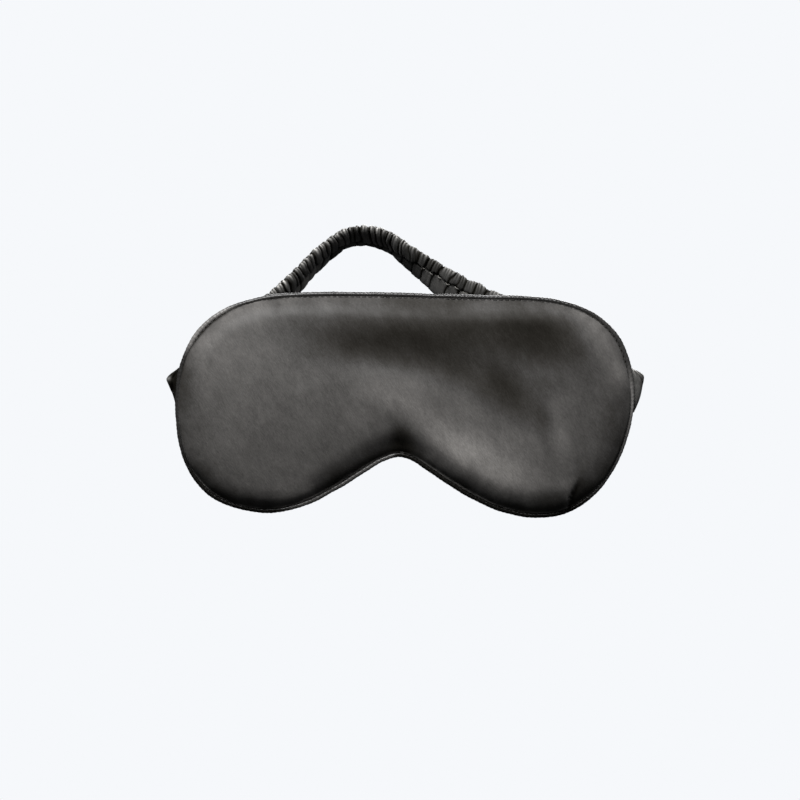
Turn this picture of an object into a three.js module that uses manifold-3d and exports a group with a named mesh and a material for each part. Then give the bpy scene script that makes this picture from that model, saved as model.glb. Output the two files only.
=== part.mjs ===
// A padded satin sleep eye mask with a gathered elastic strap.
// Millimetres, +Z up. The wearer's face is on the +Y side, and the outer face looks along -Y.
// The origin lies on the flat of the back panel, level with the two seams that hold the strap.

import * as THREE from 'three';
import Module from 'manifold-3d';
import { mergeVertices } from 'three/addons/utils/BufferGeometryUtils.js';

const wasm = await Module();
wasm.setup();

// ---------------------------------------------------------------- driving dimensions

const BACK_RISE = 6; // crown of the back panel behind the seam plane
const FRONT_RISE = 10; // crown of the front panel before the seam plane
const FLAT_INSET = 18; // distance in from the edge where the crown has risen fully
const CLOTH = 0.8; // satin with its backing, as one thickness
const GAP = 0.3; // clearance between neighbouring pieces
const CROWN_STEPS = 3; // facets from the seam up to the flat of a crown
const EDGE_STEPS = 8; // facets for each stretch of the outline
const PANEL_MARGIN = 0.5; // between the piping and the edges of the panels
const EDGE_BAND = 0.2; // straight band between the two crowns of a pillow, lost in the seam
const CUT_REACH = 150; // half width of the boxes that divide a pillow

const RIM_RADIUS = 1.3; // outside of the piping
const RIM_WALL = 0.3; // folded bias strip around the cord
const CORD_RADIUS = RIM_RADIUS - RIM_WALL - GAP;
const FLANGE_DEPTH = 8; // seam allowance of the piping, measured in from the edge
const FLANGE_THICKNESS = 0.8;
const RIM_JOIN = 0.3; // open butt joint where the piping meets itself
const RIM_STEPS = 70;

const THREAD_INSET = 6.8; // line of the closing seam, in from the edge
const THREAD_SIZE = 0.5;
const TACK_WIDTH = 1.4; // bar tacks that lock the strap ends into the seam
const TACK_THICKNESS = 0.5;
const TACK_HEIGHT = 16;
const TACK_STEP = 2.5; // from the strap's end towards its loop
const SLOT_START = 94; // the openings for the strap ends begin this far from the middle

const STRAP_WIDTH = 19;
const STRAP_THICKNESS = 2.4;
const STRAP_WALL = 0.5;
const STRAP_CHAMFER = 0.5;
const ELASTIC_WIDTH = 10;
const ELASTIC_THICKNESS = 0.6;
const ELASTIC_SHORT = 0.6; // the elastic stops this far short of each end of its cover
const STRAP_LIFT = 58; // angle of the relaxed strap above straight back, degrees
const TWIST_REACH = 30; // the strap has turned to that angle this far behind the seam line
const CORNER_FACETS = 3; // facets round a curve in a swept section

// ---------------------------------------------------------------- planes and lines

const SEAM_Y = -BACK_RISE;
const PANEL_INSET = 2 * RIM_RADIUS + PANEL_MARGIN;
const SEAM_HALF_GAP = FLANGE_THICKNESS / 2 + GAP;
// The strap ends lie behind the piping, so the line they turn about does too.
const STRAP_LINE_Y = SEAM_Y + RIM_RADIUS + GAP + STRAP_THICKNESS / 2;

// Knots of the mask's edge, clockwise from the top left. Heading is the direction of travel in
// degrees; before and after are the lengths of the curve's handles on either side of the knot.
const EDGE_KNOTS = [
  { x: -52.6, z: 44.6, heading: 2.9, before: 28.1, after: 31.9 }, // top left
  { x: 45.7, z: 43.6, heading: -0.3, before: 30.5, after: 30.8 }, // top right
  { x: 103.4, z: -5.6, heading: -92, before: 42.1, after: 9.1 }, // right side
  { x: 59.9, z: -57.6, heading: 180.3, before: 35, after: 28.7 }, // bottom of right lobe
  { x: -1.6, z: -29.9, heading: 174.2, before: 7.1, after: 13.8 }, // top of nose notch
  { x: -65.5, z: -55.3, heading: 176.1, before: 28.2, after: 28.8 }, // bottom of left lobe
  { x: -105.1, z: -8.5, heading: 91.4, before: 27.4, after: 41.2 }, // left side
];

// Stations of the strap's middle line, from the left seam to the right seam. Across is the place
// along X, reach the distance behind the strap line, and lean how far the ribbon's width has
// tipped back from upright, in degrees. Splay is how far its top edge has tipped outwards, where
// the loop at each side folds on a slant.
const STRAP_STATIONS = [
  { across: -98, reach: 0, lean: 0 },
  { across: -104, reach: 0.15, lean: 0 },
  { across: -106.4, reach: 2.8, lean: 0, splay: 12 },
  { across: -104, reach: 5.6, lean: 2 },
  { across: -97, reach: 12.5, lean: 18 },
  { across: -79, reach: 29, lean: 38 },
  { across: -57, reach: 51, lean: 50 },
  { across: -38.5, reach: 74, lean: 61 },
  { across: -25, reach: 84.2, lean: 66 },
  { across: -11, reach: 82.5, lean: 64 },
  { across: 4, reach: 70, lean: 52 },
  { across: 24, reach: 53, lean: 30 },
  { across: 65, reach: 28, lean: 14 },
  { across: 92, reach: 12, lean: 5 },
  { across: 103, reach: 5.6, lean: 0 },
  { across: 105.4, reach: 2.8, lean: 0, splay: 12 },
  { across: 103, reach: 0.15, lean: 0 },
  { across: 96, reach: 0, lean: 0 },
];

// Which stations each length of the strap's cover runs between.
const COVER_LENGTHS = [
  { name: 'strap_end_left', from: 0, to: 5 },
  { name: 'strap_cover_left', from: 5, to: 8 },
  { name: 'strap_cover_crown', from: 8, to: 9 },
  { name: 'strap_cover_right', from: 9, to: 12 },
  { name: 'strap_end_right', from: 12, to: 17 },
];
const STATION_STEPS = 6; // facets from one station to the next

const cloth = {
  satin: { color: 0x504e4c, roughness: 0.42 },
  satinBack: { color: 0x46443f, roughness: 0.5 },
  piping: { color: 0x3b3937, roughness: 0.4 },
  strap: { color: 0x4a4846, roughness: 0.45 },
  lining: { color: 0x151515, roughness: 0.9 },
  wadding: { color: 0xd9d6cf, roughness: 0.95 },
  elastic: { color: 0x1c1c1c, roughness: 0.8 },
  thread: { color: 0x2b2a29, roughness: 0.6 },
};

// ---------------------------------------------------------------- helpers

const mask = new THREE.Group();

function addPiece(name, geometry, finish) {
  const material = new THREE.MeshStandardMaterial({ metalness: 0, ...finish });
  const mesh = new THREE.Mesh(geometry, material);
  mesh.name = name;
  mask.add(mesh);
}

function toSolid(geometry) {
  const bare = geometry.clone();
  bare.deleteAttribute('normal');
  bare.deleteAttribute('uv');
  const merged = mergeVertices(bare);
  return new wasm.Manifold(new wasm.Mesh({
    numProp: 3,
    vertProperties: merged.attributes.position.array,
    triVerts: merged.index.array,
  }));
}

function toGeometry(solid) {
  const mesh = solid.getMesh();
  const geometry = new THREE.BufferGeometry();
  geometry.setAttribute('position', new THREE.BufferAttribute(mesh.vertProperties, 3));
  geometry.setIndex(new THREE.BufferAttribute(mesh.triVerts, 1));
  geometry.computeVertexNormals();
  return geometry;
}

// A box between two corners.
function boxBetween(low, high) {
  const size = high.clone().sub(low);
  const geometry = new THREE.BoxGeometry(size.x, size.y, size.z);
  geometry.translate(...low.clone().add(high).multiplyScalar(0.5).toArray());
  return geometry;
}

function headingVector(degrees, length) {
  const angle = THREE.MathUtils.degToRad(degrees);
  return new THREE.Vector2(Math.cos(angle), Math.sin(angle)).multiplyScalar(length);
}

// The mask's edge as a flat shape: X across and Y up.
function edgeShape() {
  const shape = new THREE.Shape();
  shape.moveTo(EDGE_KNOTS[0].x, EDGE_KNOTS[0].z);
  EDGE_KNOTS.forEach((knot, i) => {
    const next = EDGE_KNOTS[(i + 1) % EDGE_KNOTS.length];
    const leave = headingVector(knot.heading, knot.after);
    const arrive = headingVector(next.heading, next.before);
    shape.bezierCurveTo(
      knot.x + leave.x, knot.z + leave.y,
      next.x - arrive.x, next.z - arrive.y,
      next.x, next.z,
    );
  });
  return shape;
}

const EDGE = edgeShape();

// A pillow of the mask's outline, `inset` in from the edge, that stands `rise` from its middle
// plane on both sides. The middle plane is at `y`.
function pillow(inset, rise, y) {
  const depth = EDGE_BAND;
  const round = FLAT_INSET - inset;
  const geometry = new THREE.ExtrudeGeometry(EDGE, {
    depth,
    curveSegments: EDGE_STEPS,
    bevelEnabled: true,
    bevelThickness: rise - depth / 2,
    bevelSize: round,
    bevelOffset: -FLAT_INSET,
    bevelSegments: CROWN_STEPS,
  });
  geometry.translate(0, 0, -depth / 2);
  geometry.rotateX(Math.PI / 2);
  geometry.translate(0, y, 0);
  return geometry;
}

// One side of a cloth pillow: side -1 is the front and +1 the back. It is a dished skin that is
// open towards the seam.
function dishedSkin(side, inset, rise) {
  const outer = toSolid(pillow(inset, rise, SEAM_Y));
  const inner = toSolid(pillow(inset + CLOTH, rise - CLOTH, SEAM_Y));
  const start = SEAM_Y + side * SEAM_HALF_GAP;
  const end = SEAM_Y + side * CUT_REACH;
  const half = toSolid(boxBetween(
    new THREE.Vector3(-CUT_REACH, Math.min(start, end), -CUT_REACH),
    new THREE.Vector3(CUT_REACH, Math.max(start, end), CUT_REACH),
  ));
  return outer.subtract(inner).intersect(half);
}

// A run along the mask's edge, `inset` in from it, in the plane at `y`. It starts and ends at
// the left side, with the butt joint between its ends.
class EdgeRun extends THREE.Curve {
  constructor(inset, y) {
    super();
    this.inset = inset;
    this.y = y;
    this.trim = RIM_JOIN / 2 / EDGE.getLength();
  }

  along(t) {
    return THREE.MathUtils.lerp(this.trim, 1 - this.trim, t);
  }

  outward(t) {
    const heading = EDGE.getTangentAt(this.along(t));
    return new THREE.Vector3(-heading.y, 0, heading.x);
  }

  getPoint(t) {
    const point = EDGE.getPointAt(this.along(t));
    const place = new THREE.Vector3(point.x, this.y, point.y);
    return place.addScaledVector(this.outward(t), -this.inset);
  }

  computeFrenetFrames(steps) {
    const frames = { tangents: [], normals: [], binormals: [] };
    for (let i = 0; i <= steps; i += 1) {
      const t = this.getUtoTmapping(i / steps);
      const normal = this.outward(t);
      const binormal = new THREE.Vector3(0, -1, 0);
      frames.normals.push(normal);
      frames.binormals.push(binormal);
      frames.tangents.push(normal.clone().cross(binormal));
    }
    return frames;
  }
}

function sweep(shape, path, steps) {
  return new THREE.ExtrudeGeometry(shape, {
    steps,
    curveSegments: CORNER_FACETS,
    extrudePath: path,
  });
}

// A flat strip in section. The points halfway along its width keep the faces of a twisted strip
// close to its true surface.
function strip(width, height) {
  const x = width / 2;
  const y = height / 2;
  const corners = [[-x, -y], [0, -y], [x, -y], [x, y], [0, y], [-x, y]];
  return new THREE.Shape(corners.map((corner) => new THREE.Vector2(...corner)));
}

// The strap's middle line, and the direction of the ribbon's width along it.
const STRAP_LINE = new THREE.CatmullRomCurve3(STRAP_STATIONS.map(({ across, reach }) => {
  const turn = THREE.MathUtils.smoothstep(reach, 0, TWIST_REACH);
  const lift = THREE.MathUtils.degToRad(STRAP_LIFT) * turn;
  const back = STRAP_LINE_Y + reach * Math.cos(lift);
  return new THREE.Vector3(across, back, reach * Math.sin(lift));
}));
const RIBBON_WIDTH = new THREE.CatmullRomCurve3(STRAP_STATIONS.map((station) => {
  const { across, lean, splay = 0 } = station;
  const back = THREE.MathUtils.degToRad(lean);
  const out = THREE.MathUtils.degToRad(splay) * Math.sign(across);
  return new THREE.Vector3(Math.sin(out), -Math.sin(back), Math.cos(back) * Math.cos(out));
}));
const LAST_STATION = STRAP_STATIONS.length - 1;

// A length of the strap from one station to another, shortened by `trim` at each end. It is
// divided evenly between stations, so that the elastic bends at the same places as its cover.
class StrapRun extends THREE.Curve {
  constructor(from, to, trim) {
    super();
    const stations = STRAP_LINE.points;
    const firstGap = stations[from].distanceTo(stations[from + 1]);
    const finalGap = stations[to].distanceTo(stations[to - 1]);
    this.from = from + trim / firstGap;
    this.to = to - trim / finalGap;
  }

  station(t) {
    return THREE.MathUtils.lerp(this.from, this.to, t) / LAST_STATION;
  }

  getPoint(t) {
    return STRAP_LINE.getPoint(this.station(t));
  }

  getPointAt(u) {
    return this.getPoint(u);
  }

  computeFrenetFrames(steps) {
    const frames = { tangents: [], normals: [], binormals: [] };
    for (let i = 0; i <= steps; i += 1) {
      const station = this.station(i / steps);
      const tangent = STRAP_LINE.getTangent(station);
      const face = tangent.clone().cross(RIBBON_WIDTH.getPoint(station)).normalize();
      frames.tangents.push(tangent);
      frames.normals.push(face.clone().cross(tangent));
      frames.binormals.push(face);
    }
    return frames;
  }
}

// ---------------------------------------------------------------- padded mask

// A box around one strap end, with clearance, that opens the seam for it.
function strapSlot(side) {
  const half = STRAP_WIDTH / 2 + GAP;
  const top = STRAP_LINE_Y + STRAP_THICKNESS / 2 + GAP;
  const near = SLOT_START * side;
  const far = CUT_REACH * side;
  return toSolid(boxBetween(
    new THREE.Vector3(Math.min(near, far), SEAM_Y, -half),
    new THREE.Vector3(Math.max(near, far), top, half),
  ));
}

function buildPadding() {
  const frontPanel = dishedSkin(-1, PANEL_INSET, FRONT_RISE);
  addPiece('front_panel', toGeometry(frontPanel), cloth.satin);

  const liningStep = CLOTH + GAP;
  const lining = dishedSkin(-1, PANEL_INSET + liningStep, FRONT_RISE - liningStep);
  addPiece('blackout_lining', toGeometry(lining), cloth.lining);

  const backPanel = dishedSkin(1, PANEL_INSET, BACK_RISE);
  const slotted = backPanel.subtract(strapSlot(-1)).subtract(strapSlot(1));
  addPiece('back_panel', toGeometry(slotted), cloth.satinBack);

  const front = FRONT_RISE - 2 * liningStep;
  const back = BACK_RISE - liningStep;
  const middle = SEAM_Y + (back - front) / 2;
  const pad = pillow(FLANGE_DEPTH + 2 * GAP, (front + back) / 2, middle);
  addPiece('wadding_pad', pad, cloth.wadding);
}

// ---------------------------------------------------------------- piping and seam

// The bias strip in section: a tube around the cord with its seam allowance as one flange.
// X points out of the mask and Y to the front.
function pipingSection() {
  const shape = new THREE.Shape();
  const half = FLANGE_THICKNESS / 2;
  const opening = Math.asin(half / RIM_RADIUS);
  const flangeEnd = RIM_RADIUS - FLANGE_DEPTH;
  shape.absarc(0, 0, RIM_RADIUS, opening - Math.PI, Math.PI - opening, false);
  shape.lineTo(flangeEnd, half);
  shape.lineTo(flangeEnd, -half);
  shape.closePath();
  const hole = new THREE.Path();
  hole.absarc(0, 0, RIM_RADIUS - RIM_WALL, 0, 2 * Math.PI, true);
  shape.holes.push(hole);
  return shape;
}

function circle(radius) {
  const shape = new THREE.Shape();
  shape.absarc(0, 0, radius, 0, 2 * Math.PI, false);
  return shape;
}

function buildRim() {
  const rim = new EdgeRun(RIM_RADIUS, SEAM_Y);
  addPiece('piping_cover', sweep(pipingSection(), rim, RIM_STEPS), cloth.piping);
  addPiece('piping_cord', sweep(circle(CORD_RADIUS), rim, RIM_STEPS), cloth.thread);

  const threadY = SEAM_Y - SEAM_HALF_GAP - THREAD_SIZE / 2;
  const seam = new EdgeRun(THREAD_INSET, threadY);
  const stitch = strip(THREAD_SIZE, THREAD_SIZE);
  addPiece('seam_thread', sweep(stitch, seam, RIM_STEPS), cloth.thread);
}

function buildTacks() {
  const low = SEAM_Y + FLANGE_THICKNESS / 2 + GAP;
  const tacks = [
    { name: 'bar_tack_left', end: STRAP_STATIONS[0].across, side: -1 },
    { name: 'bar_tack_right', end: STRAP_STATIONS[LAST_STATION].across, side: 1 },
  ];
  tacks.forEach(({ name, end, side }) => {
    const middle = end + side * TACK_STEP;
    addPiece(name, boxBetween(
      new THREE.Vector3(middle - TACK_WIDTH / 2, low, -TACK_HEIGHT / 2),
      new THREE.Vector3(middle + TACK_WIDTH / 2, low + TACK_THICKNESS, TACK_HEIGHT / 2),
    ), cloth.thread);
  });
}

// ---------------------------------------------------------------- strap

// The gathered cover in section: a flat sleeve with its corners taken off.
function sleeveSection() {
  const x = STRAP_WIDTH / 2;
  const y = STRAP_THICKNESS / 2;
  const shape = new THREE.Shape([
    new THREE.Vector2(-x + STRAP_CHAMFER, -y),
    new THREE.Vector2(x - STRAP_CHAMFER, -y),
    new THREE.Vector2(x, 0),
    new THREE.Vector2(x - STRAP_CHAMFER, y),
    new THREE.Vector2(-x + STRAP_CHAMFER, y),
    new THREE.Vector2(-x, 0),
  ]);
  const innerWidth = STRAP_WIDTH - 2 * STRAP_WALL - 2 * STRAP_CHAMFER;
  const innerHeight = STRAP_THICKNESS - 2 * STRAP_WALL;
  shape.holes.push(strip(innerWidth, innerHeight));
  return shape;
}

function buildStrap() {
  COVER_LENGTHS.forEach(({ name, from, to }) => {
    const run = new StrapRun(from, to, GAP / 2);
    addPiece(name, sweep(sleeveSection(), run, (to - from) * STATION_STEPS), cloth.strap);
  });
  const whole = new StrapRun(0, LAST_STATION, ELASTIC_SHORT);
  const section = strip(ELASTIC_WIDTH, ELASTIC_THICKNESS);
  addPiece('strap_elastic', sweep(section, whole, LAST_STATION * STATION_STEPS), cloth.elastic);
}

buildPadding();
buildRim();
buildTacks();
buildStrap();

export default mask;
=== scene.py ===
"""A charcoal satin sleep eye mask: its cloth, piping and gathered strap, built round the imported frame.

Lengths in this script are millimetres until a mesh is made, and the axes are the frame's: X across
the mask, Y towards the wearer, Z up. The front panel looks along -Y.
"""
import math

import bpy
import numpy as np
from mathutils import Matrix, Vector, noise
from mathutils.geometry import delaunay_2d_cdt


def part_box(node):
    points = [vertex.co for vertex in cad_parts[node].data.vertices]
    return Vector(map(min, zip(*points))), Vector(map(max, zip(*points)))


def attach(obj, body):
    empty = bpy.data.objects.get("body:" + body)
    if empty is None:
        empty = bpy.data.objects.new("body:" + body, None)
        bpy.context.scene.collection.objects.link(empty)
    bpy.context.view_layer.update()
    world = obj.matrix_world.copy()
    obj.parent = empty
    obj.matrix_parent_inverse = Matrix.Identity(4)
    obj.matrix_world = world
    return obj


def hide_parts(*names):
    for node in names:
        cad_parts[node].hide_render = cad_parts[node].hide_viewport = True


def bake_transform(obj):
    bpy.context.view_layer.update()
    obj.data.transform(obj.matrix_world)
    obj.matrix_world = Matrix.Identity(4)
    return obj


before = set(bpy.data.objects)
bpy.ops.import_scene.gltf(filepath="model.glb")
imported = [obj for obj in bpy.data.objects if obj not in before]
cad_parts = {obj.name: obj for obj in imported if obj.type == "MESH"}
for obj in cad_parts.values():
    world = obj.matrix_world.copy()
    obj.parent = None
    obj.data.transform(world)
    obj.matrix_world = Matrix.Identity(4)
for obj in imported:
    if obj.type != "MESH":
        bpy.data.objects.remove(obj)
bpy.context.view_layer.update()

MM = 0.001

# ---------------------------------------------------------------- places taken from the frame


def box_mm(node):
    """Lowest and highest corner of a CAD node, in millimetres."""
    low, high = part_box(node)
    return np.array(low) / MM, np.array(high) / MM


def node_points(node):
    """The distinct corners of a CAD node, and the pairs of them that its edges join."""
    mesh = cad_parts[node].data
    raw = np.array([v.co for v in mesh.vertices]) / MM
    points, index = np.unique(np.round(raw, 3), axis=0, return_inverse=True)
    index = index.reshape(-1)
    pairs = {tuple(sorted((index[a], index[b]))) for a, b in (e.vertices for e in mesh.edges)}
    return points, [pair for pair in pairs if pair[0] != pair[1]]


CORD_LOW, CORD_HIGH = box_mm("piping_cord")
SEAM_Y = (CORD_LOW[1] + CORD_HIGH[1]) / 2
FRONT_Y = box_mm("front_panel")[0][1]
BACK_Y = box_mm("back_panel")[1][1]
FRONT_RISE = SEAM_Y - FRONT_Y
BACK_RISE = BACK_Y - SEAM_Y
PIPING_RADIUS = np.ptp(np.array(box_mm("piping_cover"))[:, 1]) / 2

# ---------------------------------------------------------------- small tools


def smooth_step(value, low, high):
    """0 below low, 1 above high, and a smooth rise between them."""
    t = np.clip((value - low) / (high - low), 0, 1)
    return t * t * (3 - 2 * t)


def bell(value, width):
    """1 at zero, falling off smoothly to both sides over about the width."""
    return np.exp(-((value / width) ** 2))


def field(points, scale, seed):
    """Smooth noise between about -1 and 1, one value for each point; scale is its grain in mm."""
    offset = Vector((seed * 17.3, seed * 5.1, seed * 9.7))
    return np.array([noise.noise(Vector(p) / scale + offset) for p in points]) * 1.6


def unit(vectors):
    """The same directions, each with length 1."""
    return vectors / np.linalg.norm(vectors, axis=-1, keepdims=True)


def make_object(name, points, faces, materials):
    """A smooth-shaded mesh object from points in millimetres."""
    mesh = bpy.data.meshes.new(name)
    mesh.from_pydata((np.asarray(points) * MM).tolist(), [], [tuple(f) for f in faces])
    for material in materials:
        mesh.materials.append(material)
    mesh.shade_smooth()
    mesh.update()
    obj = bpy.data.objects.new(name, mesh)
    bpy.context.scene.collection.objects.link(obj)
    return obj


def set_painted_light(piece, values):
    """Painted light and shade at each point of a satin piece."""
    painted_light = piece.data.attributes.new("painted_light", "FLOAT", "POINT")
    painted_light.data.foreach_set("value", values)


def tube_faces(rings, around, closed):
    """Quads of a tube of `rings` rings with `around` points each, closed on itself or capped."""
    faces = []
    for i in range(rings if closed else rings - 1):
        here, there = i * around, (i + 1) % rings * around
        for j in range(around):
            k = (j + 1) % around
            faces.append((here + j, there + j, there + k, here + k))
    if not closed:
        faces.append(tuple(range(around)))
        faces.append(tuple((rings - 1) * around + j for j in reversed(range(around))))
    return faces


# ---------------------------------------------------------------- the mask's edge


IN_PLANE = 0.01  # a corner this near the seam plane lies in it
ACROSS_PIPING = 2.6 * PIPING_RADIUS  # reaches from one side of the piping to the other
EDGE_SPANS = 8  # samples of the curve between two corners of the piping
EDGE_POINTS = 420


def outer_edge():
    """The outline of the mask, from the outermost corners of the piping in the seam plane."""
    points, _ = node_points("piping_cover")
    flat = points[np.abs(points[:, 1] - SEAM_Y) < IN_PLANE]
    middle = flat.mean(axis=0)
    arm = (flat - middle)[:, [0, 2]]
    reach = np.linalg.norm(arm, axis=1)
    near = np.linalg.norm(arm[:, None] - arm[None], axis=2) < ACROSS_PIPING
    outermost = reach >= np.where(near, reach[None], 0).max(axis=1) - 1e-6
    arm, flat = arm[outermost], flat[outermost]
    order = np.argsort(np.arctan2(arm[:, 1], arm[:, 0]))
    return flat[order][:, [0, 2]]


def smooth_loop(points, per_span):
    """A closed curve through the points, with `per_span` samples from each to the next."""
    before, after, far = np.roll(points, 1, 0), np.roll(points, -1, 0), np.roll(points, -2, 0)
    t = (np.arange(per_span) / per_span)[None, :, None]
    a, b, c, d = (p[:, None] for p in (before, points, after, far))
    curve = b + 0.5 * t * (c - a + t * (2 * a - 5 * b + 4 * c - d + t * (3 * (b - c) + d - a)))
    return curve.reshape(-1, 2)


def even_loop(points, count):
    """The closed curve again, as `count` points evenly spaced along it."""
    closed = np.vstack([points, points[:1]])
    length = np.r_[0, np.cumsum(np.linalg.norm(np.diff(closed, axis=0), axis=1))]
    at = np.linspace(0, length[-1], count, endpoint=False)
    return np.c_[np.interp(at, length, closed[:, 0]), np.interp(at, length, closed[:, 1])]


def loop_outward(points):
    """Unit normals that point out of an anticlockwise loop."""
    along = np.roll(points, -1, 0) - np.roll(points, 1, 0)
    return unit(np.c_[along[:, 1], -along[:, 0]])


EDGE = even_loop(smooth_loop(outer_edge(), EDGE_SPANS), EDGE_POINTS)
EDGE_OUT = loop_outward(EDGE)
EDGE_LENGTH = np.linalg.norm(np.roll(EDGE, -1, 0) - EDGE, axis=1).sum()


def nearest_edge(points):
    """For flat points, the distance to the outline and the index of its nearest sample."""
    distance = np.full(len(points), 1e9)
    index = np.zeros(len(points), int)
    batch = 2000  # keeps the table of distances small
    for start in range(0, len(points), batch):
        part = slice(start, start + batch)
        apart = np.linalg.norm(points[part][:, None] - EDGE[None], axis=2)
        index[part] = apart.argmin(axis=1)
        distance[part] = apart.min(axis=1)
    return distance, index


# ---------------------------------------------------------------- materials


def colour(red, green, blue):
    """A colour given as it looks on screen, from 0 to 255."""
    def linear(channel):
        c = channel / 255
        return c / 12.92 if c <= 0.04045 else ((c + 0.055) / 1.055) ** 2.4
    return (linear(red), linear(green), linear(blue), 1)


THREAD_LEAN = math.radians(-32)  # the brushed threads lean this way across the cloth
TONE_GAIN = 4.0  # the cloth is this many times lighter for each unit of tone
WARM = (1.06, 1.0, 0.86)  # the darkest parts of the cloth look a little browner


def tint(base, by):
    """A colour with its red, green and blue each scaled."""
    return tuple(b * t for b, t in zip(base, by)) + (1,)


class Nodes:
    """A short way to wire one material's shader nodes."""

    def __init__(self, name):
        self.material = bpy.data.materials.new(name)
        self.material.use_nodes = True
        self.tree = self.material.node_tree
        self.shader = self.tree.nodes["Principled BSDF"]

    def add(self, kind, **values):
        node = self.tree.nodes.new("ShaderNode" + kind)
        for key, value in values.items():
            setattr(node, key, value)
        return node

    def link(self, source, target):
        self.tree.links.new(source, target)

    def place(self, lean=0, grain=(1, 1, 1)):
        """Object coordinates leaning about Y, counted in grains of the given size in mm."""
        mapping = self.add("Mapping", vector_type="TEXTURE")
        mapping.inputs["Rotation"].default_value = (0, lean, 0)
        mapping.inputs["Scale"].default_value = [size * MM for size in grain]
        self.link(self.add("TexCoord").outputs["Object"], mapping.inputs["Vector"])
        return mapping.outputs["Vector"]

    def noise(self, vector, scale, detail=2.0, roughness=0.5):
        node = self.add("TexNoise")
        node.inputs["Scale"].default_value = scale
        node.inputs["Detail"].default_value = detail
        node.inputs["Roughness"].default_value = roughness
        self.link(vector, node.inputs["Vector"])
        return node.outputs["Fac"]

    def span(self, source, low, high, to_low, to_high):
        """A value carried from one range to another."""
        node = self.add("MapRange")
        for key, value in zip(("From Min", "From Max", "To Min", "To Max"),
                              (low, high, to_low, to_high)):
            node.inputs[key].default_value = value
        self.link(source, node.inputs["Value"])
        return node.outputs["Result"]

    def maths(self, operation, a, b):
        """Two values, each a socket or a number, put through one operation."""
        node = self.add("Math", operation=operation)
        for socket, value in zip(node.inputs, (a, b)):
            if hasattr(value, "is_output"):
                self.link(value, socket)
            else:
                socket.default_value = value
        return node.outputs[0]

    def mix(self, factor, first, second):
        """A colour between two, each a socket or a colour."""
        node = self.add("Mix", data_type="RGBA")
        self.link(factor, node.inputs["Factor"])
        for key, value in (("A", first), ("B", second)):
            socket = [s for s in node.inputs if s.name == key and s.type == "RGBA"][0]
            if hasattr(value, "is_output"):
                self.link(value, socket)
            else:
                socket.default_value = value
        return [s for s in node.outputs if s.type == "RGBA"][0]

    def scaled(self, base, gain):
        """A colour made lighter or darker by a gain."""
        node = self.add("VectorMath", operation="SCALE")
        self.link(base, node.inputs[0])
        self.link(gain, node.inputs["Scale"])
        return node.outputs[0]

    def bump(self, height, distance, strength=1.0, under=None):
        """A surface raised by a height, in millimetres, over the bump given as `under`."""
        node = self.add("Bump")
        node.inputs["Strength"].default_value = strength
        node.inputs["Distance"].default_value = distance * MM
        self.link(height, node.inputs["Height"])
        if under is not None:
            self.link(under, node.inputs["Normal"])
        return node.outputs["Normal"]

    def finish(self, base=None, roughness=None, normal=None, **values):
        for key, value in values.items():
            self.shader.inputs[key.replace("_", " ")].default_value = value
        for key, value in (("Base Color", base), ("Roughness", roughness), ("Normal", normal)):
            if value is not None:
                self.link(value, self.shader.inputs[key])
        return self.material


def satin(name, middle, roughness=(0.46, 0.6), sheen=0.25, shine=0.3):
    """Brushed satin: short slanting flecks of thread, soft cloudy changes of tone and a low sheen.

    A mesh may carry a value for each point that paints light on it above zero and shade below it.
    """
    n = Nodes(name)
    flecks = n.noise(n.place(THREAD_LEAN, (0.55, 1.2, 1.9)), 1.0, 3.0, 0.6)
    threads = n.noise(n.place(THREAD_LEAN, (0.2, 0.5, 0.8)), 1.0, 2.0, 0.6)
    mottle = n.noise(n.place(THREAD_LEAN, (3.5, 6, 7)), 1.0, 3.0, 0.6)
    clouds = n.noise(n.place(0, (22, 22, 22)), 1.0, 2.0, 0.5)
    fine = n.maths("ADD", n.maths("MULTIPLY", flecks, 0.55), n.maths("MULTIPLY", threads, 0.45))
    broad = n.maths("ADD", n.maths("MULTIPLY", mottle, 0.5), n.maths("MULTIPLY", clouds, 0.5))
    grain, patches = (n.span(part, 0.3, 0.7, -0.2, 0.2) for part in (fine, broad))
    tone = n.maths("ADD", grain, patches)
    # the painted light and shade that a mesh carries is added to the cloth's tone
    painted_light = n.add("Attribute", attribute_name="painted_light").outputs["Fac"]
    tone = n.maths("ADD", tone, painted_light)
    gain = n.maths("POWER", TONE_GAIN, tone)
    base = n.scaled(n.mix(n.span(tone, -1.2, -0.2, 0, 1), tint(middle, WARM), middle), gain)
    rough = n.span(fine, 0.3, 0.7, *roughness)
    coarse = n.bump(flecks, 0.11, 0.6)
    normal = n.bump(threads, 0.05, 0.6, under=coarse)
    open_cloth = n.maths("MINIMUM", gain, 1.0)  # where painted shade darkens the cloth, its sheen and shine are turned down too
    n.link(n.maths("MULTIPLY", open_cloth, sheen), n.shader.inputs["Sheen Weight"])
    n.link(n.maths("MULTIPLY", open_cloth, shine), n.shader.inputs["Specular IOR Level"])
    return n.finish(base, rough, normal, Sheen_Roughness=0.45)


def plain_cloth(name, dark, light, grain, roughness):
    """A matte cloth, cord or wadding with a grain of the given size in millimetres."""
    n = Nodes(name)
    speckle = n.noise(n.place(0, (grain, grain, grain)), 1.0, 4.0, 0.65)
    base = n.mix(n.span(speckle, 0.35, 0.65, 0, 1), dark, light)
    rough = n.span(speckle, 0.3, 0.7, roughness - 0.06, roughness + 0.06)
    return n.finish(base, rough, n.bump(speckle, grain * 0.25, 0.7), Sheen_Weight=0.15)


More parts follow.
